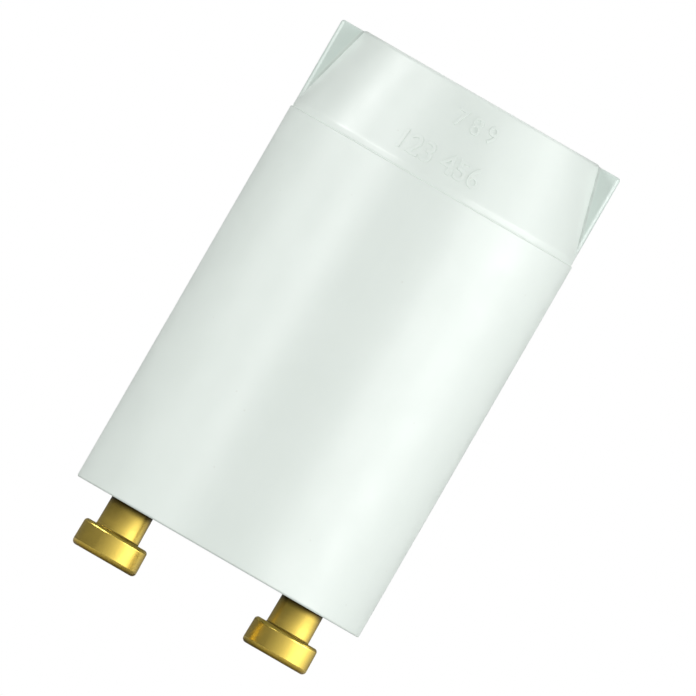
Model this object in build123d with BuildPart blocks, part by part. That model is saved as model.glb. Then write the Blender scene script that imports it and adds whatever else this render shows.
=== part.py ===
from build123d import *
import os
from math import atan2, cos, sqrt, tan

# Fluorescent starter: a moulded can with a tapered grip top, closed by a base
# plate that carries two turned contact pins. Inside are the glow switch and
# the suppression capacitor. Sizes are in millimetres.
# The starter stands on its pin heads. The origin lies between their tips, X
# runs through both pins and both grip fins, and Z is the axis of the can.

# Can
head_cover = 1.8  # the can's outside, measured outwards from the pin heads
can_length = 27.7  # bottom rim to the seam
can_wall = 1.0
seam_step = 0.1  # how far the top stands in from the body

# Tapered top, which is part of the can
top_height = 6.57  # seam to the top face
taper_inset = 1.625  # from the collar in to the edge of the top face
top_wall = 1.1
top_chamfer = 0.2
collar_height = 0.45  # straight land above the seam
fin_thickness = 2.0
fin_drop = 0.09  # fin tops lie this far below the top face
fin_side_radius = 0.35
fin_top_chamfer = 0.2

# Ribs and snap lugs that hold the base plate in the can
rib_count = 4
rib_width = 1.2
rib_depth = 1.0
rib_length = 3.0  # above the plate
lug_arc = 24.0  # degrees
lug_depth = 0.3
lug_height = 0.45

# Base plate
plate_thickness = 2.0
plate_recess = 0.6  # its underside lies this far inside the rim
plate_clearance = 0.05
plate_chamfer = 0.2
key_clearance = 0.05
boss_diameter = 5.2
boss_height = 0.4

# Contact pins
pin_pitch = 12.7
pin_reach = 3.9  # rim of the can to the pin tips
head_diameter = 4.7
head_height = 1.9
head_tip_chamfer = 0.22
head_back_chamfer = 0.18
neck_diameter = 3.1
shank_diameter = 2.2
shank_clearance = 0.05
rivet_diameter = 3.8
rivet_height = 0.6
rivet_edge = 0.2  # straight rim of the riveted end, below its slope
bore_diameter = 1.3
bore_depth = 2.4

# Wires, all of one gauge
wire_diameter = 0.5
wire_clearance = 0.03
wire_spacing = 0.6  # the two wires that share a pin's bore
wire_turn = 0.4  # how far before and after a corner the wire starts to turn
wire_rise = 1.3  # lowest sideways run above the riveted end

# Glow switch and capacitor stand this far inside the wall of the can
wall_gap = 0.3

# Glow switch
bulb_diameter = 8.5
bulb_length = 19.0
bulb_glass_wall = 0.6
bulb_lift = 4.8  # foot of the bulb above the plate
flare_rim = 0.6
flare_height = 3.0
stem_diameter = 4.4
stem_wall = 0.5
stem_length = 5.0  # foot of the bulb to the press
press_height = 3.0
press_width = 4.0
press_thickness = 1.8
exhaust_diameter = 1.2
exhaust_drop = 1.0  # sealed tip below the foot
exhaust_tip_chamfer = 0.25
post_spacing = 2.4
post_height = 3.0  # posts above the press
post_below = 1.2  # straight wire below the foot

# Electrodes
strip_thickness = 0.2
strip_width = 2.0
weld_gap = 0.02
contact_gap = 0.3
bimetal_start = 1.0  # lower end above the press
bimetal_headroom = 0.55  # start of its bend below the start of the dome
contact_start = 2.0  # end of its free leg above the press
fixed_start = 1.5  # lower end above the press
fixed_length = 3.0

# Suppression capacitor
capacitor_width = 9.0
capacitor_thickness = 4.4
capacitor_height = 12.0
capacitor_radius = 1.1
capacitor_chamfer = 0.6
capacitor_lift = 3.6  # above the plate
capacitor_pitch = 5.0
capacitor_wire_drop = 0.9

# Levels along Z, up from the pin tips
rim_level = pin_reach
seam_level = rim_level + can_length
top_level = seam_level + top_height
plate_bottom = rim_level + plate_recess
plate_top = plate_bottom + plate_thickness
rivet_bottom = plate_top + boss_height
rivet_top = rivet_bottom + rivet_height
bore_bottom = rivet_top - bore_depth

# Radii of the can
body_radius = pin_pitch / 2 + head_diameter / 2 + head_cover
collar_radius = body_radius - seam_step
cone_radius = collar_radius - taper_inset
cavity_radius = body_radius - can_wall
gap_radius = cavity_radius - wall_gap

# The taper inside runs parallel to the one outside, one wall away from it
collar_top = seam_level + collar_height
taper_angle = atan2(taper_inset, top_level - collar_top)
slant_wall = can_wall / cos(taper_angle)
ceiling_level = top_level - top_wall
ceiling_radius = cone_radius + top_wall * tan(taper_angle) - slant_wall
taper_start = collar_top + (collar_radius - slant_wall - cavity_radius) / tan(taper_angle)

# A bar with rounded ends, whose two ends stand out of the taper as grip fins
fin_top = top_level - fin_drop
with BuildPart() as grip_bar:
    with BuildSketch(Plane.XY.offset(seam_level)):
        Circle(collar_radius)
        Rectangle(2 * body_radius, fin_thickness, mode=Mode.INTERSECT)
        fillet(vertices(), fin_side_radius)
    extrude(amount=fin_top - seam_level)
    chamfer(edges().group_by(Axis.Z)[-1], fin_top_chamfer)

# One snap lug, flat above to hold the plate and sloping below to let it in
lug_tip_radius = cavity_radius - lug_depth
lug_root_radius = cavity_radius + can_wall / 2
with BuildPart() as snap_lug:
    with BuildSketch(Plane.XZ.rotated((0, 0, -lug_arc / 2))):
        with BuildLine():
            Polyline(
                (lug_root_radius, plate_bottom),
                (lug_tip_radius, plate_bottom),
                (cavity_radius, plate_bottom - lug_height),
                (lug_root_radius, plate_bottom - lug_height),
                close=True,
            )
        make_face()
    revolve(axis=Axis.Z, revolution_arc=lug_arc)

# The can: body, seam step, tapered top, grip fins, ribs, keys and snap lugs
rib_root = rib_depth + can_wall / 2
rib_centre = cavity_radius - rib_depth + rib_root / 2
with BuildPart() as can:
    with BuildSketch(Plane.XZ):
        with BuildLine():
            Polyline(
                (0, rim_level),
                (body_radius, rim_level),
                (body_radius, seam_level),
                (collar_radius, seam_level),
                (collar_radius, collar_top),
                (cone_radius, top_level),
                (0, top_level),
                close=True,
            )
        make_face()
    revolve(axis=Axis.Z)
    top_ring = edges().filter_by(GeomType.CIRCLE).sort_by(Axis.Z)[-1]
    chamfer(top_ring, top_chamfer)
    add(grip_bar.part)

    # The hollow inside, open at the rim
    with BuildSketch(Plane.XZ):
        with BuildLine():
            Polyline(
                (0, rim_level),
                (cavity_radius, rim_level),
                (cavity_radius, taper_start),
                (ceiling_radius, ceiling_level),
                (0, ceiling_level),
                close=True,
            )
        make_face()
    revolve(axis=Axis.Z, mode=Mode.SUBTRACT)

    # Seating ribs that end on the plate, and two keys in line with Y that stop it turning
    with BuildSketch(Plane.XY.offset(plate_top)):
        with PolarLocations(rib_centre, rib_count, start_angle=180 / rib_count):
            Rectangle(rib_root, rib_width)
    extrude(amount=rib_length)
    with BuildSketch(Plane.XY.offset(plate_bottom)):
        with PolarLocations(rib_centre, 2, start_angle=90):
            Rectangle(rib_root, rib_width)
    extrude(amount=plate_thickness)
    with PolarLocations(0, rib_count, start_angle=180 / rib_count):
        add(snap_lug.part)
can.part.label = "can"

# Base plate: keyed disc with a boss round each pin
plate_radius = cavity_radius - plate_clearance
hole_radius = shank_diameter / 2 + shank_clearance
with BuildPart() as base_plate:
    with BuildSketch(Plane.XY.offset(plate_bottom)):
        Circle(plate_radius)
        with PolarLocations(rib_centre, 2, start_angle=90):
            Rectangle(rib_root + 2 * key_clearance, rib_width + 2 * key_clearance, mode=Mode.SUBTRACT)
    extrude(amount=plate_thickness)
    outer_arcs = edges().filter_by(GeomType.CIRCLE).filter_by(lambda e: abs(e.radius - plate_radius) < 0.01)
    chamfer(outer_arcs.group_by(Axis.Z)[0], plate_chamfer)
    with BuildSketch(Plane.XY.offset(plate_top)):
        with GridLocations(pin_pitch, 0, 2, 1):
            Circle(boss_diameter / 2)
    extrude(amount=boss_height)
    with Locations((0, 0, rivet_bottom)):
        with GridLocations(pin_pitch, 0, 2, 1):
            Hole(hole_radius)
base_plate.part.label = "base_plate"


def contact_pin(side):
    """Turned pin: mushroom head, neck, shank through the plate, riveted end with a bore."""
    pin_x = side * pin_pitch / 2
    head_radius = head_diameter / 2
    neck_radius = neck_diameter / 2
    shank_radius = shank_diameter / 2
    rivet_radius = rivet_diameter / 2
    bore_radius = bore_diameter / 2
    with BuildPart() as pin:
        with BuildSketch(Plane.XZ.shift_origin((pin_x, 0, 0))):
            with BuildLine():
                Polyline(
                    (0, 0),
                    (head_radius, 0),
                    (head_radius, head_height),
                    (neck_radius, head_height),
                    (neck_radius, plate_bottom),
                    (shank_radius, plate_bottom),
                    (shank_radius, rivet_bottom),
                    (rivet_radius, rivet_bottom),
                    (rivet_radius, rivet_bottom + rivet_edge),
                    ((rivet_radius + bore_radius) / 2, rivet_top),
                    (bore_radius, rivet_top),
                    (bore_radius, bore_bottom),
                    (0, bore_bottom),
                    close=True,
                )
            make_face()
        revolve(axis=Axis((pin_x, 0, 0), (0, 0, 1)))
        head_rings = edges().filter_by(GeomType.CIRCLE).filter_by(lambda e: abs(e.radius - head_radius) < 0.01)
        chamfer(head_rings.sort_by(Axis.Z)[0], head_tip_chamfer)
        chamfer(head_rings.sort_by(Axis.Z)[-1], head_back_chamfer)
    return pin


contact_pin_left = contact_pin(-1)
contact_pin_left.part.label = "contact_pin_left"
contact_pin_right = contact_pin(1)
contact_pin_right.part.label = "contact_pin_right"

# Levels of the glow switch
bulb_foot = plate_top + bulb_lift
bulb_top = bulb_foot + bulb_length
press_bottom = bulb_foot + stem_length
press_top = press_bottom + press_height
bulb_radius = bulb_diameter / 2
stem_radius = stem_diameter / 2
wire_radius = wire_diameter / 2
wire_hole_radius = wire_radius + wire_clearance
bulb_offset = gap_radius - bulb_radius
bulb_plane = Plane.XZ.offset(-bulb_offset)
bulb_axis = Axis((0, bulb_offset, 0), (0, 0, 1))

# Glass envelope: a tube closed by a dome, open where it meets the stem's flare
dome_bottom = bulb_top - bulb_radius
with BuildPart() as bulb_glass:
    with BuildSketch(bulb_plane):
        with BuildLine():
            Line((bulb_radius, bulb_foot + flare_rim), (bulb_radius, dome_bottom))
            CenterArc((0, dome_bottom), bulb_radius, 0, 90)
            Line((0, bulb_top), (0, bulb_top - bulb_glass_wall))
            CenterArc((0, dome_bottom), bulb_radius - bulb_glass_wall, 0, 90)
            Polyline(
                (bulb_radius - bulb_glass_wall, dome_bottom),
                (bulb_radius - bulb_glass_wall, bulb_foot + flare_rim),
                (bulb_radius, bulb_foot + flare_rim),
            )
        make_face()
    revolve(axis=bulb_axis)
bulb_glass.part.label = "bulb_glass"

# Glass stem: a flare up to a flat press round the two wires, and the sealed
# exhaust tube between them
flare_top = bulb_foot + flare_height
exhaust_bottom = bulb_foot - exhaust_drop
with BuildPart() as bulb_stem:
    with BuildSketch(bulb_plane):
        with BuildLine():
            Polyline(
                (bulb_radius, bulb_foot),
                (bulb_radius, bulb_foot + flare_rim),
                (bulb_radius - bulb_glass_wall, bulb_foot + flare_rim),
                (stem_radius, flare_top),
                (stem_radius, press_bottom),
                (0, press_bottom),
                (0, press_bottom - stem_wall),
                (stem_radius - stem_wall, press_bottom - stem_wall),
                (stem_radius - stem_wall, flare_top - stem_wall),
                (bulb_radius - bulb_glass_wall, bulb_foot),
                close=True,
            )
        make_face()
    revolve(axis=bulb_axis)
    with BuildSketch(Plane.XY.offset(press_bottom)):
        with Locations((0, bulb_offset)):
            SlotOverall(press_width, press_thickness)
    extrude(amount=press_height)
    with BuildSketch(Plane.XY.offset(exhaust_bottom)):
        with Locations((0, bulb_offset)):
            Circle(exhaust_diameter / 2)
    extrude(amount=press_bottom - exhaust_bottom)
    chamfer(edges().sort_by(Axis.Z)[0], exhaust_tip_chamfer)
    with Locations((0, bulb_offset, press_top)):
        with GridLocations(post_spacing, 0, 2, 1):
            Hole(wire_hole_radius, depth=press_height + stem_wall)
bulb_stem.part.label = "bulb_stem"


def wire(top, high_corner, low_corner, bottom):
    """Round wire that runs down, across to another place and down again, with both corners eased."""
    across = (low_corner - high_corner).normalized() * wire_turn
    down = Vector(0, 0, -wire_turn)
    with BuildPart() as rod:
        with BuildLine() as route:
            Polyline(
                top,
                high_corner - down,
                high_corner + across,
                low_corner - across,
                low_corner + down,
                bottom,
            )
        with BuildSketch(Plane(origin=top, z_dir=(0, 0, -1))):
            Circle(wire_radius)
        sweep(path=route.wires()[0], transition=Transition.RIGHT)
    return rod


def bulb_lead(side):
    """Lead-in wire: post in the bulb, through the press, out to the pin and into its bore."""
    post_x = side * post_spacing / 2
    pin_x = side * pin_pitch / 2
    bore_y = wire_spacing / 2
    return wire(
        Vector(post_x, bulb_offset, press_top + post_height),
        Vector(post_x, bulb_offset, bulb_foot - post_below),
        Vector(pin_x, bore_y, rivet_top + wire_rise),
        Vector(pin_x, bore_y, bore_bottom),
    )


bulb_lead_left = bulb_lead(-1)
bulb_lead_left.part.label = "bulb_lead_left"
bulb_lead_right = bulb_lead(1)
bulb_lead_right.part.label = "bulb_lead_right"

# The fixed electrode stands against the inner side of the right post. The
# bimetal rises outside the left post and bends over until its free leg
# stands one contact gap from the fixed electrode.
weld_reach = wire_radius + weld_gap + strip_thickness / 2
fixed_x = post_spacing / 2 - weld_reach
bimetal_root_x = -(post_spacing / 2 + weld_reach)
bimetal_tip_x = fixed_x - strip_thickness - contact_gap
bend_radius = (bimetal_tip_x - bimetal_root_x) / 2
bimetal_bottom = press_top + bimetal_start
bend_level = dome_bottom - bimetal_headroom
free_end = press_top + contact_start
half_strip = strip_thickness / 2
with BuildPart() as bimetal_strip:
    with BuildSketch(bulb_plane):
        with BuildLine():
            bend_x = bimetal_root_x + bend_radius
            outer_bend = bend_radius + half_strip
            inner_bend = bend_radius - half_strip
            Line((bimetal_root_x - half_strip, bimetal_bottom), (bimetal_root_x - half_strip, bend_level))
            CenterArc((bend_x, bend_level), outer_bend, 0, 180)
            Line((bimetal_tip_x + half_strip, bend_level), (bimetal_tip_x + half_strip, free_end))
            Line((bimetal_tip_x + half_strip, free_end), (bimetal_tip_x - half_strip, free_end))
            Line((bimetal_tip_x - half_strip, free_end), (bimetal_tip_x - half_strip, bend_level))
            CenterArc((bend_x, bend_level), inner_bend, 0, 180)
            Line((bimetal_root_x + half_strip, bend_level), (bimetal_root_x + half_strip, bimetal_bottom))
            Line((bimetal_root_x + half_strip, bimetal_bottom), (bimetal_root_x - half_strip, bimetal_bottom))
        make_face()
    extrude(amount=strip_width / 2, both=True)
bimetal_strip.part.label = "bimetal_strip"

with BuildPart() as fixed_electrode:
    with BuildSketch(Plane.XY.offset(press_top + fixed_start)):
        with Locations((fixed_x, bulb_offset)):
            Rectangle(strip_thickness, strip_width)
    extrude(amount=fixed_length)
fixed_electrode.part.label = "fixed_electrode"

# Suppression capacitor: a flat dipped body with rounded edges. Its front
# corners, before they are rounded, stand one gap inside the wall of the can.
capacitor_bottom = plate_top + capacitor_lift
capacitor_front = sqrt(gap_radius**2 - (capacitor_width / 2) ** 2)
capacitor_y = capacitor_thickness / 2 - capacitor_front
with BuildPart() as capacitor_body:
    with BuildSketch(Plane.XY.offset(capacitor_bottom)):
        with Locations((0, capacitor_y)):
            RectangleRounded(capacitor_width, capacitor_thickness, capacitor_radius)
    extrude(amount=capacitor_height)
    chamfer(edges().group_by(Axis.Z)[0] + edges().group_by(Axis.Z)[-1], capacitor_chamfer)
capacitor_body.part.label = "capacitor_body"


def capacitor_lead(side):
    """Wire from the capacitor's lower face out to the pin and into its bore."""
    wire_x = side * capacitor_pitch / 2
    pin_x = side * pin_pitch / 2
    bore_y = -wire_spacing / 2
    return wire(
        Vector(wire_x, capacitor_y, capacitor_bottom),
        Vector(wire_x, capacitor_y, capacitor_bottom - capacitor_wire_drop),
        Vector(pin_x, bore_y, rivet_top + wire_rise),
        Vector(pin_x, bore_y, bore_bottom),
    )


capacitor_lead_left = capacitor_lead(-1)
capacitor_lead_left.part.label = "capacitor_lead_left"
capacitor_lead_right = capacitor_lead(1)
capacitor_lead_right.part.label = "capacitor_lead_right"

pieces = [
    can,
    base_plate,
    contact_pin_left,
    contact_pin_right,
    bulb_glass,
    bulb_stem,
    bulb_lead_left,
    bulb_lead_right,
    bimetal_strip,
    fixed_electrode,
    capacitor_body,
    capacitor_lead_left,
    capacitor_lead_right,
]
os.makedirs("parts", exist_ok=True)
for piece in pieces:
    export_step(piece.part, f"parts/{piece.part.label}.step")
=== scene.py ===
import math

import bmesh
import bpy
from mathutils import Matrix, Vector


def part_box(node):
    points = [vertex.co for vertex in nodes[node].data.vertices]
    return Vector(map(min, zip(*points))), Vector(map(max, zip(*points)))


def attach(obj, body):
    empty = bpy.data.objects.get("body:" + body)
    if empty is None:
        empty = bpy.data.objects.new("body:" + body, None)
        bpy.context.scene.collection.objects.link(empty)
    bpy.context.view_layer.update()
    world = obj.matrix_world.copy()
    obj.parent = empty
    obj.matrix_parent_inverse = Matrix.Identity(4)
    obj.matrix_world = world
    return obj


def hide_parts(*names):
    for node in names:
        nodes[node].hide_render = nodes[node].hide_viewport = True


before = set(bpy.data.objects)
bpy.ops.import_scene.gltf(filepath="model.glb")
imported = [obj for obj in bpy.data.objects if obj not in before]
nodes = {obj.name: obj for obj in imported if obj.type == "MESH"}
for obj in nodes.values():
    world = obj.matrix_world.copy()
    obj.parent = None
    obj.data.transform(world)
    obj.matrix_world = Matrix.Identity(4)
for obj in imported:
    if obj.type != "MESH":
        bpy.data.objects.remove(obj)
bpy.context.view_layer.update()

# Fluorescent starter: moulded can with grip fins, base plate, two brass pins,
# and inside the can the glow switch and the capacitor.
# Sizes in the dictionaries are millimetres, the scene is in metres.
mm = 0.001
scene = bpy.context.scene

canLow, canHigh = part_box("can")
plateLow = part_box("base_plate")[0]
plateThickness = 2.0  # without the bosses round the pins
bodyRadius = canHigh.x / mm
rimLevel, topLevel = canLow.z / mm, canHigh.z / mm
plateBottom = plateLow.z / mm
plateTop = plateBottom + plateThickness
print("frame loaded:", len(nodes), "nodes")


class Port:
    # a socket that takes Python arithmetic and adds the Math nodes for it
    def __init__(self, graph, socket):
        self.graph, self.socket = graph, socket

    def maths(self, operation, *terms):
        settings = {"operation": operation}
        return self.graph.node("ShaderNodeMath", settings, dict(enumerate(terms)))["Value"]

    def __add__(self, other):
        return self.maths("ADD", self, other)

    def __radd__(self, other):
        return self.maths("ADD", other, self)

    def __sub__(self, other):
        return self.maths("SUBTRACT", self, other)

    def __rsub__(self, other):
        return self.maths("SUBTRACT", other, self)

    def __mul__(self, other):
        return self.maths("MULTIPLY", self, other)

    def __rmul__(self, other):
        return self.maths("MULTIPLY", other, self)

    def __truediv__(self, other):
        return self.maths("DIVIDE", self, other)

    def __pow__(self, other):
        return self.maths("POWER", self, other)

    def __abs__(self):
        return self.maths("ABSOLUTE", self)

    def sine(self):
        return self.maths("SINE", self)

    def cosine(self):
        return self.maths("COSINE", self)

    def steps(self, low, high):
        # 0 below low, 1 above high, smooth between
        return self.graph.node(
            "ShaderNodeMapRange",
            {"interpolation_type": "SMOOTHSTEP"},
            {"Value": self, "From Min": low, "From Max": high},
        )["Result"]


class Graph:
    # a node tree: node() adds a node to it and returns its outputs as ports
    def __init__(self, tree):
        self.tree = tree

    def node(self, kind, settings=None, sockets=None):
        made = self.tree.nodes.new(kind)
        for name, value in (settings or {}).items():
            setattr(made, name, value)
        for key, value in (sockets or {}).items():
            if isinstance(key, int):
                target = made.inputs[key]
            else:
                target = next(s for s in made.inputs if s.enabled and s.name == key)
            if isinstance(value, Port):
                self.tree.links.new(value.socket, target)
            else:
                target.default_value = value
        return {s.name: Port(self, s) for s in made.outputs if s.enabled}

    def mix(self, share, first, second):
        sockets = {"Factor": share, "A": first, "B": second}
        return self.node("ShaderNodeMix", {"data_type": "RGBA"}, sockets)["Result"]

    def mapped(self, place, offset=(0, 0, 0), turn=(0, 0, 0), stretch=(1, 1, 1)):
        sockets = {"Vector": place, "Location": offset, "Rotation": turn, "Scale": stretch}
        return self.node("ShaderNodeMapping", None, sockets)["Vector"]

    def noise(self, place, size, detail, roughness, distortion=0.0):
        # size in millimetres
        return self.node("ShaderNodeTexNoise", None, {
            "Vector": place, "Scale": 1 / (size * mm), "Detail": detail,
            "Roughness": roughness, "Distortion": distortion,
        })["Fac"]

    def bump(self, height, depth, under=None):
        # depth in millimetres, under is a bump that lies below this one
        sockets = {"Height": height, "Distance": depth * mm}
        if under is not None:
            sockets["Normal"] = under
        return self.node("ShaderNodeBump", None, sockets)["Normal"]


def colour(red, green, blue):
    return (red, green, blue, 1.0)


def newFinish(name):
    material = bpy.data.materials.new(name)
    material.use_nodes = True
    material.node_tree.nodes.clear()
    return material, Graph(material.node_tree)


def finishOff(graph, sockets):
    shader = graph.node("ShaderNodeBsdfPrincipled", None, sockets)["BSDF"]
    graph.node("ShaderNodeOutputMaterial", None, {"Surface": shader})


def newTree(name, inputs):
    # Geometry Nodes group with named inputs: (name, socket type, value)
    tree = bpy.data.node_groups.new(name, "GeometryNodeTree")
    interface = tree.interface
    interface.new_socket("Geometry", in_out="INPUT", socket_type="NodeSocketGeometry")
    for label, kind, value in inputs:
        socket = interface.new_socket(label, in_out="INPUT", socket_type=kind)
        if value is not None:
            socket.default_value = value
    interface.new_socket("Geometry", in_out="OUTPUT", socket_type="NodeSocketGeometry")
    graph = Graph(tree)
    return tree, graph, graph.node("NodeGroupInput")


def endTree(graph, geometry, material):
    real = graph.node("GeometryNodeRealizeInstances", None, {"Geometry": geometry})["Geometry"]
    sockets = {"Geometry": real, "Material": material}
    done = graph.node("GeometryNodeSetMaterial", None, sockets)["Geometry"]
    graph.node("NodeGroupOutput", None, {"Geometry": done})


def newObject(name, mesh):
    thing = bpy.data.objects.new(name, mesh)
    scene.collection.objects.link(thing)
    return thing


def plainMesh(thing, name):
    # the evaluated shape as a plain mesh on an object without modifiers
    bpy.context.view_layer.update()
    seen = thing.evaluated_get(bpy.context.evaluated_depsgraph_get())
    mesh = bpy.data.meshes.new_from_object(seen)
    old = thing.data
    bpy.data.objects.remove(thing)
    if old.users == 0 and isinstance(old, bpy.types.Mesh):
        bpy.data.meshes.remove(old)
    mesh.name = name
    return newObject(name, mesh)


def throughTree(mesh, name, tree, values):
    thing = newObject(name, mesh)
    modifier = thing.modifiers.new(tree.name, "NODES")
    modifier.node_group = tree
    sockets = {s.name: s.identifier for s in tree.interface.items_tree if s.in_out == "INPUT"}
    for label, value in values.items():
        modifier[sockets[label]] = value
    return plainMesh(thing, name)


def smooth(thing, degrees=32):
    polygons = thing.data.polygons
    polygons.foreach_set("use_smooth", [True] * len(polygons))
    thing.data.set_sharp_from_angle(angle=math.radians(degrees))
    thing.data.update()


def meshOf(name, points, edges=(), faces=()):
    mesh = bpy.data.meshes.new(name)
    mesh.from_pydata([tuple(p) for p in points], list(edges), list(faces))
    mesh.update()
    return mesh


def roundedPath(corners, steps=4, support=0.2):
    # outline through corners (x, y, radius), each rounded by an arc of its radius, with
    # a point just before and after it, so that the flat faces beside it shade flat
    path = []
    for index, (x, y, radius) in enumerate(corners):
        here = Vector((x, y))
        if radius == 0:
            path.append(here)
            continue
        before = (Vector(corners[index - 1][:2]) - here).normalized()
        after = (Vector(corners[(index + 1) % len(corners)][:2]) - here).normalized()
        half = before.angle(after) / 2
        centre = here + (before + after).normalized() * radius / math.sin(half)
        reach = radius / math.tan(half)
        first, last = here + before * reach - centre, here + after * reach - centre
        start = math.atan2(first.y, first.x)
        turn = math.remainder(math.atan2(last.y, last.x) - start, math.tau)
        path.append(here + before * (reach + radius * support))
        for step in range(steps + 1):
            angle = start + turn * step / steps
            path.append(centre + Vector((math.cos(angle), math.sin(angle))) * radius)
        path.append(here + after * (reach + radius * support))
    return path


# Turning tree: a closed outline (radius along X, height down Y) goes round an axis.
# It is swept along a circle of the path radius, from which the outline is set off.
turning, graph, given = newTree("turning", [
    ("Steps", "NodeSocketInt", 192),
    ("Path Radius", "NodeSocketFloat", 0.005),
    ("Axis X", "NodeSocketFloat", 0.0),
    ("Material", "NodeSocketMaterial", None),
])
outline = graph.node("GeometryNodeMeshToCurve", None, {"Mesh": given["Geometry"]})["Curve"]
circle = graph.node("GeometryNodeCurvePrimitiveCircle", None, {
    "Resolution": given["Steps"], "Radius": given["Path Radius"]})["Curve"]
upright = graph.node("GeometryNodeSetCurveNormal", {"mode": "Z_UP"}, {"Curve": circle})["Curve"]
turned = graph.node("GeometryNodeCurveToMesh", None, {
    "Curve": upright, "Profile Curve": outline})["Mesh"]
closed = graph.node("GeometryNodeMergeByDistance", None, {
    "Geometry": turned, "Distance": 0.001 * mm})["Geometry"]
offset = graph.node("ShaderNodeCombineXYZ", None, {"X": given["Axis X"]})["Vector"]
placed = graph.node("GeometryNodeSetPosition", None, {
    "Geometry": closed, "Offset": offset})["Geometry"]
endTree(graph, placed, given["Material"])


def turnedPiece(name, corners, material, steps=192, axisX=0.0, arcSteps=4):
    pathRadius = 5.0
    sliver = 1e-8  # edges shorter than this go
    path = roundedPath(corners, arcSteps)
    points = [((p.x - pathRadius) * mm, -p.y * mm, 0.0) for p in path]
    edges = [(i, (i + 1) % len(points)) for i in range(len(points))]
    piece = throughTree(meshOf(name, points, edges), name, turning, {
        "Steps": steps, "Path Radius": pathRadius * mm, "Axis X": axisX, "Material": material})
    work = bmesh.new()
    work.from_mesh(piece.data)
    bmesh.ops.dissolve_degenerate(work, dist=sliver, edges=work.edges)
    bmesh.ops.recalc_face_normals(work, faces=work.faces)
    work.to_mesh(piece.data)
    work.free()
    return piece


# Ring tree: copies of one small form stand round the can's axis
ring, graph, given = newTree("ring", [
    ("Count", "NodeSocketInt", 4),
    ("First Angle", "NodeSocketFloat", 0.0),
    ("Material", "NodeSocketMaterial", None),
])
spots = graph.node("GeometryNodePoints", None, {"Count": given["Count"]})["Points"]
index = graph.node("GeometryNodeInputIndex")["Index"]
angle = given["First Angle"] + index * math.tau / given["Count"]
turn = graph.node("ShaderNodeCombineXYZ", None, {"Z": angle})["Vector"]
copies = graph.node("GeometryNodeInstanceOnPoints", None, {
    "Points": spots, "Instance": given["Geometry"], "Rotation": turn})["Instances"]
endTree(graph, copies, given["Material"])

# Wrapping tree: flat raised figures (X along, Y up, Z out) lie on the taper
wrapping, graph, given = newTree("wrapping", [
    ("Foot Radius", "NodeSocketFloat", 0.01),
    ("Foot Level", "NodeSocketFloat", 0.0),
    ("Taper", "NodeSocketFloat", 0.2),
    ("Across", "NodeSocketFloat", 0.0),
    ("Up", "NodeSocketFloat", 0.0),
    ("Material", "NodeSocketMaterial", None),
])
position = graph.node("GeometryNodeInputPosition")["Position"]
flat = graph.node("ShaderNodeSeparateXYZ", None, {0: position})
sine, cosine = given["Taper"].sine(), given["Taper"].cosine()
rise = (flat["Y"] + given["Up"]) / cosine
out = flat["Z"]
radius = given["Foot Radius"] - rise * sine + out * cosine
angle = (flat["X"] + given["Across"]) / given["Foot Radius"]
wrapped = graph.node("ShaderNodeCombineXYZ", None, {
    "X": radius * angle.sine(),
    "Y": radius * angle.cosine() * -1.0,
    "Z": given["Foot Level"] + rise * cosine + out * sine,
})["Vector"]
bent = graph.node("GeometryNodeSetPosition", None, {
    "Geometry": given["Geometry"], "Position": wrapped})["Geometry"]
endTree(graph, bent, given["Material"])


# Moulded plastic: colours, gloss, sizes of its patterns, and how strongly each shows.
# A range is the part of a pattern's values, and a band the distance, over which it fades;
# creaseBand is a distance squared.
canLook = {
    "tone": (0.778, 0.847, 0.798),
    "shade": (0.763, 0.834, 0.784),
    # colour of the fins' painted shade
    "finShade": (0.645, 0.755, 0.70),
    # colour of dust and of the painted shade in the corners at the seam, the rim and the fin
    # creases
    "dustAndShade": (0.41, 0.47, 0.44),
    "speck": (0.45, 0.43, 0.36),
    "roughness": 0.36,
    "refraction": 2.0,
    "cloudSize": 4.0,
    "cloudShare": 0.7,
    "flowSize": 1.2,
    "flowStretch": 0.12,
    "flowShare": 0.3,
    "driftRange": (0.3, 0.7),
    "patchSize": 1.1,
    "patchRange": (0.3, 0.75),
    "speckSpacing": 1.9,
    "speckRadius": (0.02, 0.05),  # as shares of the spacing
    "handlingSize": 2.2,
    "handlingRange": (0.35, 0.75),
    "grainSize": 0.09,
    "grainDepth": 0.0016,
    "waveSize": 3.5,
    "waveDepth": 0.006,
    "seamBand": (0.03, 0.2),
    "rimBand": (0.04, 0.14),
    "creaseBand": (0.004, 0.04),
    # bands of the fins' painted shade and of the painted shade in the fin creases
    "finShadeBand": (0.02, 0.3),
    "sideBand": (6.0, 7.0),
    "collarBand": (-0.1, 0.3),
    # share of the fins' painted shade
    "finShadeShare": 0.8,
    "speckShare": 0.15,
    # painted shade with dust above the seam, along the rim and in the fin creases
    "seamShade": 0.04,
    "rimShade": 0.5,
    "creaseShade": 0.25,
    "creasePatches": 0.3,
    "handlingRoughness": 0.10,
    "dustRoughness": 0.25,
}


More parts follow.
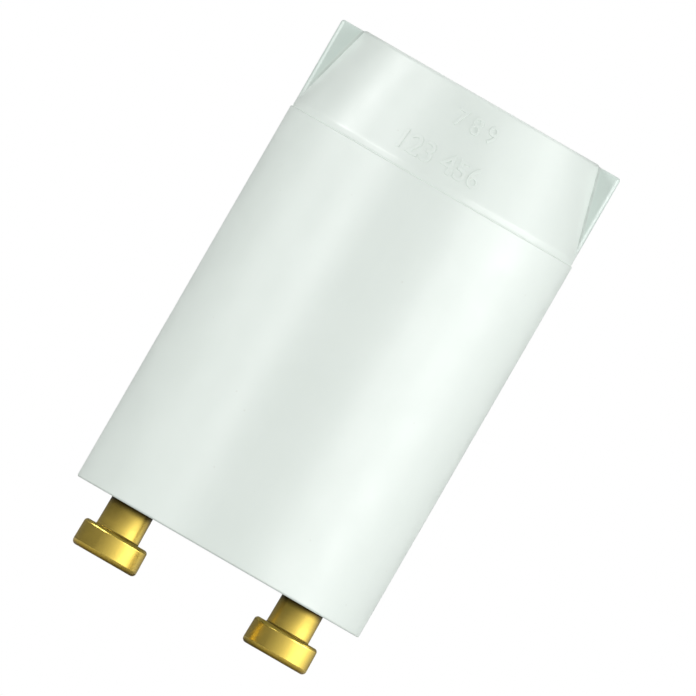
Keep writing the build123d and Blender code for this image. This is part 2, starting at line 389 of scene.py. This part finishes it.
def plasticFinish(name, look):
    material, graph = newFinish(name)
    place = graph.node("ShaderNodeTexCoord")["Object"]
    parts = graph.node("ShaderNodeSeparateXYZ", None, {0: place})
    height = parts["Z"] / mm
    radius = (parts["X"] ** 2.0 + parts["Y"] ** 2.0) ** 0.5 / mm
    # the tone of the compound drifts in clouds and in faint flow lines along the can
    clouds = graph.noise(place, look["cloudSize"], 3.0, 0.55)
    along = graph.mapped(place, stretch=(1, 1, look["flowStretch"]))
    flow = graph.noise(along, look["flowSize"], 2.0, 0.5, 0.4)
    drift = (clouds * look["cloudShare"] + flow * look["flowShare"]).steps(*look["driftRange"])
    tone = graph.mix(drift, colour(*look["tone"]), colour(*look["shade"]))
    # dust with painted shade: darker above the seam, along the rim and where the fins meet the
    # taper
    aboveSeam = 1.0 - abs(height - seamLevel - grooveMiddle).steps(*look["seamBand"])
    alongRim = 1.0 - (height - rimLevel).steps(*look["rimBand"])
    slope = (collarRadius - canSizes["topRadius"]) / (topLevel - collarTop)
    offTaper = radius - collarRadius + (height - collarTop) * slope
    offFin = abs(parts["Y"]) / mm - canSizes["finThickness"] / 2
    onSide = abs(parts["X"] / mm).steps(*look["sideBand"])
    onSide = onSide * (height - collarTop).steps(*look["collarBand"])
    crease = (1.0 - (offTaper ** 2.0 + offFin ** 2.0).steps(*look["creaseBand"])) * onSide
    # painted shade: the fins' faces are coloured darker, for the shade they lie in beside the taper
    finShading = offTaper.steps(*look["finShadeBand"]) * onSide * look["finShadeShare"]
    tone = graph.mix(finShading, tone, colour(*look["finShade"]))
    patches = graph.noise(place, look["patchSize"], 3.0, 0.6).steps(*look["patchRange"])
    dustAndShade = aboveSeam * patches * look["seamShade"] + alongRim * look["rimShade"]
    dustAndShade = dustAndShade + crease * (look["creaseShade"] + patches * look["creasePatches"])
    tone = graph.mix(dustAndShade, tone, colour(*look["dustAndShade"]))
    # specks of darker pellet, far apart
    cells = {"Vector": place, "Scale": 1 / (look["speckSpacing"] * mm)}
    specks = graph.node("ShaderNodeTexVoronoi", None, cells)["Distance"]
    specks = (1.0 - specks.steps(*look["speckRadius"])) * look["speckShare"]
    tone = graph.mix(specks, tone, colour(*look["speck"]))
    handling = graph.noise(place, look["handlingSize"], 4.0, 0.6)
    handling = handling.steps(*look["handlingRange"])
    roughness = look["roughness"] + handling * look["handlingRoughness"]
    grain = graph.noise(place, look["grainSize"], 2.0, 0.6)
    waves = graph.noise(place, look["waveSize"], 1.0, 0.4)
    fine = graph.bump(grain, look["grainDepth"])
    finishOff(graph, {
        "Base Color": tone,
        "Roughness": roughness + dustAndShade * look["dustRoughness"],
        "IOR": look["refraction"],
        "Normal": graph.bump(waves, look["waveDepth"], fine),
    })
    return material


# Brass of the pins. The bands of painted shade are measured below the rim (near and far), from the
# head's back and the neck (back), above the floor (sole) and from the axis (soleEdge).
pinLook = {
    "tone": (0.76, 0.562, 0.115),
    "tarnish": (0.42, 0.27, 0.05),
    # colour of the painted shade under the rim, behind the head and at the sole
    "paintedShade": (0.045, 0.028, 0.008),
    "roughness": 0.19,
    "spread": 0.92,
    "lineSize": 0.055,
    "lineStretch": 0.06,
    "lineDepth": 0.0004,
    "lineRange": (0.35, 0.7),
    "wideSize": 0.33,
    "stainSize": 1.3,
    "stainRange": (0.42, 0.78),
    "scratchSize": 0.5,
    "scratchTurn": (0.5, 0.3, 0.2),
    "scratchStretch": 9.0,
    "scratchDepth": 0.0003,
    "stainShare": 0.10,
    "lineShare": 0.08,
    # where and how strongly the painted shade shows
    "nearRim": (0.0, 0.55),
    "nearShare": 0.65,
    "farRim": (0.2, 1.7),
    "farShare": 0.35,
    "backLevel": 0.03,
    "backBand": (0.02, 0.1),
    "backReach": (0.05, 0.3),
    "backShare": 0.7,
    "sole": (0.05, 0.28),
    "soleEdge": (2.0, 2.25),
    "soleShare": 0.6,
    "stainRoughness": 0.05,
    "wideRoughness": 0.03,
    "backRoughness": 0.3,
}


def brassFinish(name, look, axisX):
    material, graph = newFinish(name)
    place = graph.node("ShaderNodeTexCoord")["Object"]
    own = graph.mapped(place, offset=(-axisX, 0.0, 0.0))
    parts = graph.node("ShaderNodeSeparateXYZ", None, {0: own})
    height = parts["Z"] / mm
    radius = (parts["X"] ** 2.0 + parts["Y"] ** 2.0) ** 0.5 / mm
    # fine lines run along the pin and spread the reflections round it
    along = graph.mapped(own, stretch=(1, 1, look["lineStretch"]))
    lines = graph.noise(along, look["lineSize"], 2.0, 0.6)
    wide = graph.noise(along, look["wideSize"], 2.0, 0.5)
    stains = graph.noise(own, look["stainSize"], 4.0, 0.62).steps(*look["stainRange"])
    # painted shade: darker under the rim, behind the head and along the edge of its sole, where
    # the can, the head and the floor shade the pin
    below = rimLevel - height
    near = (1.0 - below.steps(*look["nearRim"])) * look["nearShare"]
    far = (1.0 - below.steps(*look["farRim"])) * look["farShare"]
    behindHead = pinSizes["headHeight"] + look["backLevel"]
    back = 1.0 - abs(height - behindHead).steps(*look["backBand"])
    offNeck = [pinSizes["neckRadius"] + reach for reach in look["backReach"]]
    back = back * (1.0 - radius.steps(*offNeck))
    sole = (1.0 - height.steps(*look["sole"])) * radius.steps(*look["soleEdge"])
    worn = stains * look["stainShare"] + lines.steps(*look["lineRange"]) * look["lineShare"]
    pinShade = near + far + back * look["backShare"] + sole * look["soleShare"]
    tone = graph.mix(worn, colour(*look["tone"]), colour(*look["tarnish"]))
    roughness = look["roughness"] + stains * look["stainRoughness"]
    roughness = roughness + wide * look["wideRoughness"] + back * look["backRoughness"]
    crossing = graph.mapped(
        own, turn=look["scratchTurn"], stretch=(1, 1, look["scratchStretch"]))
    scratches = graph.noise(crossing, look["scratchSize"], 3.0, 0.7)
    fine = graph.bump(lines, look["lineDepth"])
    finishOff(graph, {
        # base colour darkened by painted shade under the rim, behind the head and at the sole
        "Base Color": graph.mix(pinShade, tone, colour(*look["paintedShade"])),
        "Metallic": 1.0,
        "Roughness": roughness,
        "Anisotropic": look["spread"],
        "Normal": graph.bump(scratches, look["scratchDepth"], fine),
    })
    return material


# Can: outer form, grip bar, hollow, ribs, keys and lugs
canSizes = {
    "seamLevel": 31.6,
    "seamStep": 0.1,
    "seamRadius": 0.09,
    "grooveDepth": 0.02,
    "grooveFloor": 0.02,
    "grooveMiddle": 0.05,
    "grooveTop": 0.09,
    "grooveEdge": 0.02,
    "collar": 0.45,
    "collarEasing": 0.9,
    "topRadius": 8.775,
    "topEdge": 0.25,
    "rimRadius": 0.12,
    "wall": 1.0,
    "topWall": 1.1,
    "ceilingEdge": 0.3,
    "mouthDrop": 0.5,
    "finThickness": 2.0,
    "finDrop": 0.09,
    "finFoot": 0.2,
    "finInset": 0.005,
    "finEndPoints": (-0.5, -0.25, 0.0, 0.25, 0.5),
    "finSideRadius": 0.25,
    "finTopRadius": 0.2,
    "ribCount": 4,
    "ribWidth": 1.2,
    "ribDepth": 1.0,
    "ribLength": 3.0,
    "keyCount": 2,
    "lugArc": 24.0,
    "lugDepth": 0.3,
    "lugHeight": 0.45,
    "lugSink": 0.05,
    "weldReach": 0.0003,
    "figureHeight": 0.08,
    "figureBevel": 0.02,
}
seamLevel, grooveMiddle = canSizes["seamLevel"], canSizes["grooveMiddle"]
collarRadius = bodyRadius - canSizes["seamStep"]
collarTop = seamLevel + canSizes["collar"]
cavityRadius = bodyRadius - canSizes["wall"]
wallMiddle = bodyRadius - canSizes["wall"] / 2
taper = math.atan2(collarRadius - canSizes["topRadius"], topLevel - collarTop)
canPlastic = plasticFinish("canPlastic", canLook)


def canShell(sizes):
    grooveRadius = collarRadius - sizes["grooveDepth"]
    return turnedPiece("canShell", [
        (0.0, rimLevel, 0),
        (bodyRadius, rimLevel, sizes["rimRadius"]),
        (bodyRadius, seamLevel, sizes["seamRadius"]),
        (grooveRadius, seamLevel, 0),
        (grooveRadius, seamLevel + sizes["grooveFloor"], 0),
        (collarRadius, seamLevel + sizes["grooveTop"], sizes["grooveEdge"]),
        (collarRadius, collarTop, sizes["collarEasing"]),
        (sizes["topRadius"], topLevel, sizes["topEdge"]),
        (0.0, topLevel, 0),
    ], canPlastic, steps=256)


def canHollow(sizes):
    slantWall = sizes["wall"] / math.cos(taper)
    ceiling = topLevel - sizes["topWall"]
    ceilingRadius = sizes["topRadius"] + sizes["topWall"] * math.tan(taper) - slantWall
    taperStart = collarTop + (collarRadius - slantWall - cavityRadius) / math.tan(taper)
    mouth = rimLevel - sizes["mouthDrop"]  # clear of the rim, so that the cut goes through it
    return turnedPiece("canHollow", [
        (0.0, mouth, 0),
        (cavityRadius, mouth, 0),
        (cavityRadius, taperStart, 0),
        (ceilingRadius, ceiling, sizes["ceilingEdge"]),
        (0.0, ceiling, 0),
    ], canPlastic, steps=192)


def gripBar(sizes):
    # bar with rounded ends and rounded top edges, its ends stand out as the fins
    reach, half = collarRadius - sizes["finInset"], sizes["finThickness"] / 2
    side, edge = sizes["finSideRadius"], sizes["finTopRadius"]
    end = [(math.sqrt(reach**2 - y**2), y, 0) for y in sizes["finEndPoints"]]
    cornerX = math.sqrt(reach**2 - half**2)
    rightEnd = [(cornerX, -half, side), *end, (cornerX, half, side)]
    leftEnd = [(-x, -y, r) for x, y, r in rightEnd]
    top, steps = topLevel - sizes["finDrop"], 6
    section = roundedPath(rightEnd + leftEnd, steps)
    count = len(section)
    levels = [(collarTop - sizes["finFoot"], 0.0)]
    for step in range(steps + 1):
        angle = math.pi / 2 * step / steps
        levels.append((top - edge + edge * math.sin(angle), edge * (1 - math.cos(angle))))
    points, faces = [], []
    for level, inset in levels:
        for index, point in enumerate(section):
            ahead = section[(index + 1) % count] - section[index - 1]
            inward = Vector((-ahead.y, ahead.x)).normalized()
            place = point + inward * inset
            points.append((place.x * mm, place.y * mm, level * mm))
    for row in range(len(levels) - 1):
        low, high = row * count, (row + 1) * count
        for index in range(count):
            after = (index + 1) % count
            faces.append((low + index, low + after, high + after, high + index))
    faces.append(tuple(range(count))[::-1])
    faces.append(tuple(range((len(levels) - 1) * count, len(levels) * count)))
    bar = newObject("gripBar", meshOf("gripBar", points, (), faces))
    bar.data.materials.append(canPlastic)
    return bar


def blockAt(low, high):
    corners = [
        (x * mm, y * mm, z * mm)
        for z in (low[2], high[2]) for y in (low[1], high[1]) for x in (low[0], high[0])
    ]
    faces = [(0, 2, 3, 1), (4, 5, 7, 6), (0, 1, 5, 4), (2, 6, 7, 3), (0, 4, 6, 2), (1, 3, 7, 5)]
    return meshOf("block", corners, (), faces)


def lugMesh(sizes):
    tip = cavityRadius - sizes["lugDepth"]
    foot = plateBottom - sizes["lugHeight"]
    # the slope ends just inside the wall, so that the union cuts it cleanly
    slopeEnd = cavityRadius + sizes["lugSink"]
    section = [(wallMiddle, plateBottom), (tip, plateBottom), (slopeEnd, foot), (wallMiddle, foot)]
    steps, arc = 10, math.radians(sizes["lugArc"])
    points, faces = [], []
    for step in range(steps + 1):
        angle = -arc / 2 + arc * step / steps
        points += [(r * math.cos(angle) * mm, r * math.sin(angle) * mm, z * mm) for r, z in section]
    for step in range(steps):
        low, high = step * 4, (step + 1) * 4
        for corner in range(4):
            after = (corner + 1) % 4
            faces.append((low + corner, high + corner, high + after, low + after))
    faces += [(0, 1, 2, 3), tuple(steps * 4 + c for c in (3, 2, 1, 0))]
    return meshOf("lug", points, (), faces)


def ringOf(name, mesh, count, firstAngle):
    values = {"Count": count, "First Angle": math.radians(firstAngle), "Material": canPlastic}
    return throughTree(mesh, name, ring, values)


def joinInto(thing, operation, other):
    modifier = thing.modifiers.new(operation.lower(), "BOOLEAN")
    modifier.operation = operation
    modifier.solver = "EXACT"
    modifier.object = other


def weld(thing, reach):
    # joins the near-double points that the cuts leave along their edges
    work = bmesh.new()
    work.from_mesh(thing.data)
    bmesh.ops.remove_doubles(work, verts=work.verts, dist=reach)
    bmesh.ops.dissolve_degenerate(work, dist=reach, edges=work.edges)
    work.to_mesh(thing.data)
    work.free()


def buildCan(sizes):
    shell, bar, hollow = canShell(sizes), gripBar(sizes), canHollow(sizes)
    inner, half = cavityRadius - sizes["ribDepth"], sizes["ribWidth"] / 2
    count, between = sizes["ribCount"], 180 / sizes["ribCount"]
    ribTop = plateTop + sizes["ribLength"]
    rib = blockAt((inner, -half, plateTop), (wallMiddle, half, ribTop))
    key = blockAt((inner, -half, plateBottom), (wallMiddle, half, plateTop))
    ribs = ringOf("ribs", rib, count, between)
    keys = ringOf("keys", key, sizes["keyCount"], 90)
    lugs = ringOf("lugs", lugMesh(sizes), count, between)
    joinInto(shell, "UNION", bar)
    joinInto(shell, "DIFFERENCE", hollow)
    for extra in (ribs, keys, lugs):
        joinInto(shell, "UNION", extra)
    can = plainMesh(shell, "canMoulding")
    for spare in (bar, hollow, ribs, keys, lugs):
        bpy.data.objects.remove(spare)
    weld(can, sizes["weldReach"] * mm)
    return can


# Raised plain figures on the front of the taper: text, size, across and up
figureRows = [("123 456", 2.0, -0.55, 1.1), ("7 8 9", 1.7, 0.7, 4.2)]


def buildFigures(sizes, rows):
    made = []
    for text, size, across, up in rows:
        curve = bpy.data.curves.new("figures", "FONT")
        curve.body, curve.size = text, size * mm
        curve.align_x, curve.align_y = "CENTER", "BOTTOM_BASELINE"
        curve.extrude = sizes["figureHeight"] / 2 * mm
        curve.bevel_depth, curve.bevel_resolution = sizes["figureBevel"] * mm, 2
        curve.resolution_u = 4
        flatText = plainMesh(newObject("figures", curve), "flatFigures")
        mesh = flatText.data.copy()
        bpy.data.objects.remove(flatText)
        made.append(throughTree(mesh, "raisedFigures", wrapping, {
            "Foot Radius": collarRadius * mm,
            "Foot Level": collarTop * mm,
            "Taper": taper,
            "Across": across * mm,
            "Up": (up - sizes["collar"]) * mm,
            "Material": canPlastic,
        }))
    return made


def joinMeshes(target, others):
    work = bmesh.new()
    work.from_mesh(target.data)
    for other in others:
        work.from_mesh(other.data)
        bpy.data.objects.remove(other)
    work.to_mesh(target.data)
    work.free()


can = buildCan(canSizes)
joinMeshes(can, buildFigures(canSizes, figureRows))
can.data.materials.clear()
can.data.materials.append(canPlastic)
can.data.polygons.foreach_set("material_index", [0] * len(can.data.polygons))
smooth(can)
print("can built:", len(can.data.polygons), "faces")


# Contact pins: one outline, turned about each pin's own axis
pinSizes = {
    "headHeight": 1.9,
    "headDraft": 0.04,
    "tipRadius": 0.3,
    "backRadius": 0.25,
    "neckRadius": 1.55,
    "neckDraft": 0.04,
    "neckCorner": 0.05,
    "shankRadius": 1.1,
    "rivetRadius": 1.9,
    "rivetBottom": 6.9,
    "rivetShoulder": 7.1,
    "rivetTop": 7.5,
    "rivetEdge": 0.12,
    "rivetCrown": 0.3,
    "boreRadius": 0.65,
    "boreEdge": 0.08,
    "boreDepth": 2.4,
}


def buildPin(name, sizes, node):
    low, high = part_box(node)
    axisX = (low.x + high.x) / 2
    headRadius = (high.x - low.x) / 2 / mm
    brass = brassFinish(name + "Brass", pinLook, axisX)
    neck, shank, rivet = sizes["neckRadius"], sizes["shankRadius"], sizes["rivetRadius"]
    bore, boreFloor = sizes["boreRadius"], sizes["rivetTop"] - sizes["boreDepth"]
    pin = turnedPiece(name, [
        (0.0, 0.0, 0),
        (headRadius, 0.0, sizes["tipRadius"]),
        (headRadius - sizes["headDraft"], sizes["headHeight"], sizes["backRadius"]),
        (neck, sizes["headHeight"], sizes["neckCorner"]),
        (neck - sizes["neckDraft"], plateBottom, 0),
        (shank, plateBottom, 0),
        (shank, sizes["rivetBottom"], 0),
        (rivet, sizes["rivetBottom"], 0),
        (rivet, sizes["rivetShoulder"], sizes["rivetEdge"]),
        ((rivet + bore) / 2, sizes["rivetTop"], sizes["rivetCrown"]),
        (bore, sizes["rivetTop"], sizes["boreEdge"]),
        (bore, boreFloor, 0),
        (0.0, boreFloor, 0),
    ], brass, steps=128, axisX=axisX, arcSteps=6)
    smooth(pin)
    return pin


pins = {}
for side in ("left", "right"):
    pins[side] = buildPin(f"pin{side.capitalize()}", pinSizes, f"contact_pin_{side}")
print("pins built")


# Finishes of the solids that are carried over as they are
plateLook = dict(
    canLook, tone=(0.70, 0.73, 0.69), shade=(0.66, 0.69, 0.65), roughness=0.5, cloudSize=3.0)
glassLook = {
    "tone": (0.93, 0.96, 0.95),
    "smoke": (0.80, 0.82, 0.80),
    "smokeSize": 3.5,
    "smokeRange": (0.45, 0.85),
    "roughness": 0.03,
    "smokeRoughness": 0.08,
    "refraction": 1.5,
    "cordSize": 2.5,
    "cordDepth": 0.02,
}
wireLook = {
    "bright": (0.68, 0.66, 0.62),
    "dull": (0.50, 0.48, 0.45),
    "spotSize": 0.8,
    "spotRange": (0.4, 0.8),
    "roughness": 0.28,
    "spotRoughness": 0.15,
    "lineSize": 0.06,
    "lineStretch": 0.1,
    "lineRoughness": 0.06,
    "lineDepth": 0.002,
}
electrodeLook = dict(
    wireLook, bright=(0.62, 0.61, 0.59), dull=(0.45, 0.44, 0.42), roughness=0.32,
    lineStretch=0.08)
dipLook = {
    "tone": (0.50, 0.17, 0.07),
    "thick": (0.38, 0.11, 0.045),
    "runSize": 2.4,
    "runDepth": 0.05,
    "thickRange": (0.35, 0.7),
    "roughness": 0.22,
    "runRoughness": 0.12,
    "refraction": 1.52,
    "coat": 0.3,
    "peelSize": 0.35,
    "peelDepth": 0.006,
}


def glassFinish(name, look):
    material, graph = newFinish(name)
    place = graph.node("ShaderNodeTexCoord")["Object"]
    cords = graph.noise(place, look["cordSize"], 2.0, 0.5, 0.8)
    smoke = graph.noise(place, look["smokeSize"], 3.0, 0.55).steps(*look["smokeRange"])
    finishOff(graph, {
        "Base Color": graph.mix(smoke, colour(*look["tone"]), colour(*look["smoke"])),
        "Roughness": look["roughness"] + smoke * look["smokeRoughness"],
        "IOR": look["refraction"],
        "Transmission Weight": 1.0,
        "Normal": graph.bump(cords, look["cordDepth"]),
    })
    return material


def drawnMetalFinish(name, look):
    # drawn wire or rolled strip: fine lines along its length, dull spots
    material, graph = newFinish(name)
    place = graph.node("ShaderNodeTexCoord")["Object"]
    along = graph.mapped(place, stretch=(1, 1, look["lineStretch"]))
    lines = graph.noise(along, look["lineSize"], 2.0, 0.6)
    spots = graph.noise(place, look["spotSize"], 3.0, 0.6).steps(*look["spotRange"])
    roughness = look["roughness"] + spots * look["spotRoughness"]
    finishOff(graph, {
        "Base Color": graph.mix(spots, colour(*look["bright"]), colour(*look["dull"])),
        "Metallic": 1.0,
        "Roughness": roughness + lines * look["lineRoughness"],
        "Normal": graph.bump(lines, look["lineDepth"]),
    })
    return material


def dippedFinish(name, look):
    # resin dip of the capacitor, with runs and a slight orange peel
    material, graph = newFinish(name)
    place = graph.node("ShaderNodeTexCoord")["Object"]
    runs = graph.noise(place, look["runSize"], 3.0, 0.5)
    peel = graph.noise(place, look["peelSize"], 2.0, 0.5)
    thick = runs.steps(*look["thickRange"])
    finishOff(graph, {
        "Base Color": graph.mix(thick, colour(*look["tone"]), colour(*look["thick"])),
        "Roughness": look["roughness"] + runs * look["runRoughness"],
        "IOR": look["refraction"],
        "Coat Weight": look["coat"],
        "Normal": graph.bump(runs, look["runDepth"], graph.bump(peel, look["peelDepth"])),
    })
    return material


platePlastic = plasticFinish("platePlastic", plateLook)
bulbGlass = glassFinish("bulbGlass", glassLook)
leadWire = drawnMetalFinish("leadWire", wireLook)
electrodeMetal = drawnMetalFinish("electrodeMetal", electrodeLook)
capacitorDip = dippedFinish("capacitorDip", dipLook)
finishes = {
    "base_plate": platePlastic,
    "bulb_glass": bulbGlass,
    "bulb_stem": bulbGlass,
    "bulb_lead_left": leadWire,
    "bulb_lead_right": leadWire,
    "bimetal_strip": electrodeMetal,
    "fixed_electrode": electrodeMetal,
    "capacitor_body": capacitorDip,
    "capacitor_lead_left": leadWire,
    "capacitor_lead_right": leadWire,
}
for node, material in finishes.items():
    for slot in nodes[node].material_slots:
        slot.material = material
print("finishes assigned:", len(finishes))

for piece, node, slotName in (
    (can, "can", "can_plastic"),
    (pins["left"], "contact_pin_left", "pin_brass"),
    (pins["right"], "contact_pin_right", "pin_brass"),
):
    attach(piece, "root")
    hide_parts(node)


# Studio: pale floor, white background, soft lamps at a plain level, and round
# the floor a low band whose tone shapes the reflections in the metal
studio = {
    "floorSize": 1800.0,
    "floorTone": (0.90, 0.90, 0.90),
    "ambient": 0.42,
    "lampAim": 19.0,
    "bandDistance": 720.0,
    "bandStep": 5,
    # height up the band, and how far its own tone holds there against the upper tone
    "bandRows": [(0.2, 1.0), (180.0, 1.0), (240.0, 0.0), (510.0, 0.0)],
    "upperTone": 0.22,
    # azimuth and tone, in order round the band
    "bandTones": [
        (-180, 0.16), (-50, 0.21), (0, 0.68), (25, 1.08), (40, 1.60), (50, 2.20),
        (70, 2.50), (90, 2.20), (105, 1.40), (125, 0.75), (150, 0.16),
    ],
}


def shownDirectly(graph):
    # 1 for the rays that see the background itself
    path = graph.node("ShaderNodeLightPath")
    return path["Is Camera Ray"] + path["Is Glossy Ray"] + path["Is Transmission Ray"]


def buildFloor():
    half = studio["floorSize"] / 2 * mm
    corners = [(-half, -half, 0), (half, -half, 0), (half, half, 0), (-half, half, 0)]
    floor = newObject("floor", meshOf("floor", corners, (), [(0, 1, 2, 3)]))
    material, graph = newFinish("floorPaper")
    tone = colour(*studio["floorTone"])
    paper = graph.node("ShaderNodeBsdfDiffuse", None, {"Color": tone})["BSDF"]
    graph.node("ShaderNodeOutputMaterial", None, {"Surface": paper})
    floor.data.materials.append(material)


def buildWorld():
    world = bpy.data.worlds.new("studioWorld")
    world.use_nodes = True
    world.node_tree.nodes.clear()
    graph = Graph(world.node_tree)
    soft, white = (
        graph.node("ShaderNodeBackground", None, {
            "Color": colour(1, 1, 1), "Strength": strength})["Background"]
        for strength in (studio["ambient"], 1.0)
    )
    mixed = graph.node("ShaderNodeMixShader", None, {
        0: shownDirectly(graph), 1: soft, 2: white})["Shader"]
    graph.node("ShaderNodeOutputWorld", None, {"Surface": mixed})
    scene.world = world


# azimuth and elevation in degrees, then distance, width, height and power
lamps = {
    "keyRight": (42, 13, 510, 180, 180, 0.37),
    "keyLeft": (-45, 14, 510, 135, 108, 0.64),
    "sideLeft": (-80, 16, 510, 180, 120, 0.60),
    "sideRight": (76, 9, 510, 135, 102, 0.32),
    "highRight": (88, 34, 510, 330, 180, 0.32),
    "behind": (180, 46, 510, 540, 180, 0.20),
}


def directionOf(azimuth, elevation):
    a, e = math.radians(azimuth), math.radians(elevation)
    return Vector((math.sin(a) * math.cos(e), -math.cos(a) * math.cos(e), math.sin(e)))


def buildLamp(name, azimuth, elevation, distance, width, height, power):
    light = bpy.data.lights.new(name, "AREA")
    light.shape, light.size, light.size_y = "RECTANGLE", width * mm, height * mm
    light.energy = power
    lamp = newObject(name, light)
    away = directionOf(azimuth, elevation)
    lamp.location = Vector((0, 0, studio["lampAim"] * mm)) + away * distance * mm
    lamp.rotation_euler = away.to_track_quat("Z", "Y").to_euler()
    lamp.visible_camera = False


def buildBand():
    tones, upper = studio["bandTones"], studio["upperTone"]
    tones = tones + [(180, tones[0][1])]
    points, shades = [], []
    for (fromAngle, fromTone), (toAngle, toTone) in zip(tones, tones[1:]):
        steps = (toAngle - fromAngle) // studio["bandStep"]
        for step in range(steps):
            share = step / steps
            azimuth = fromAngle + (toAngle - fromAngle) * share
            foot = directionOf(azimuth, 0) * studio["bandDistance"] * mm
            tone = fromTone + (toTone - fromTone) * share
            for level, part in studio["bandRows"]:
                points.append(foot + Vector((0, 0, level * mm)))
                shades.append(upper + (tone - upper) * part)
    count, rows = len(points), len(studio["bandRows"])
    faces = [
        (i, (i + rows) % count, (i + rows + 1) % count, i + 1)
        for i in range(count) if i % rows < rows - 1
    ]
    band = newObject("band", meshOf("band", points, (), faces))
    shade = band.data.color_attributes.new("tone", "FLOAT_COLOR", "POINT")
    for index, tone in enumerate(shades):
        shade.data[index].color = colour(tone, tone, tone)
    material, graph = newFinish("bandPaper")
    tone = graph.node("ShaderNodeVertexColor", {"layer_name": "tone"})["Color"]
    sockets = {"Color": tone, "Strength": 1.0}
    paper = graph.node("ShaderNodeEmission", None, sockets)["Emission"]
    graph.node("ShaderNodeOutputMaterial", None, {"Surface": paper})
    band.data.materials.append(material)
    band.visible_camera = False


buildFloor()
buildWorld()
buildBand()
for name, facts in lamps.items():
    buildLamp(name, *facts)

# Camera: square on to the front, rolled so that the starter leans to the right
view = {
    "lean": 30.0,
    "middleX": 0.552,
    "middleZ": 19.81,
    "width": 45.016,
    "distance": 300.0,
    "nearest": 10.0,
    "farthest": 5000.0,
}
lens = bpy.data.cameras.new("photoCamera")
lens.type, lens.ortho_scale = "ORTHO", view["width"] * mm
lens.clip_start, lens.clip_end = view["nearest"] * mm, view["farthest"] * mm
camera = newObject("photoCamera", lens)
lean = math.radians(view["lean"])
right = Vector((math.cos(lean), 0, math.sin(lean)))
up = Vector((-math.sin(lean), 0, math.cos(lean)))
back = Vector((0, -1, 0))
facing = Matrix((right, up, back)).transposed().to_4x4()
centre = Vector((view["middleX"] * mm, -view["distance"] * mm, view["middleZ"] * mm))
camera.matrix_world = Matrix.Translation(centre) @ facing
scene.camera = camera
scene.view_settings.view_transform = "Standard"
print("studio and camera ready")
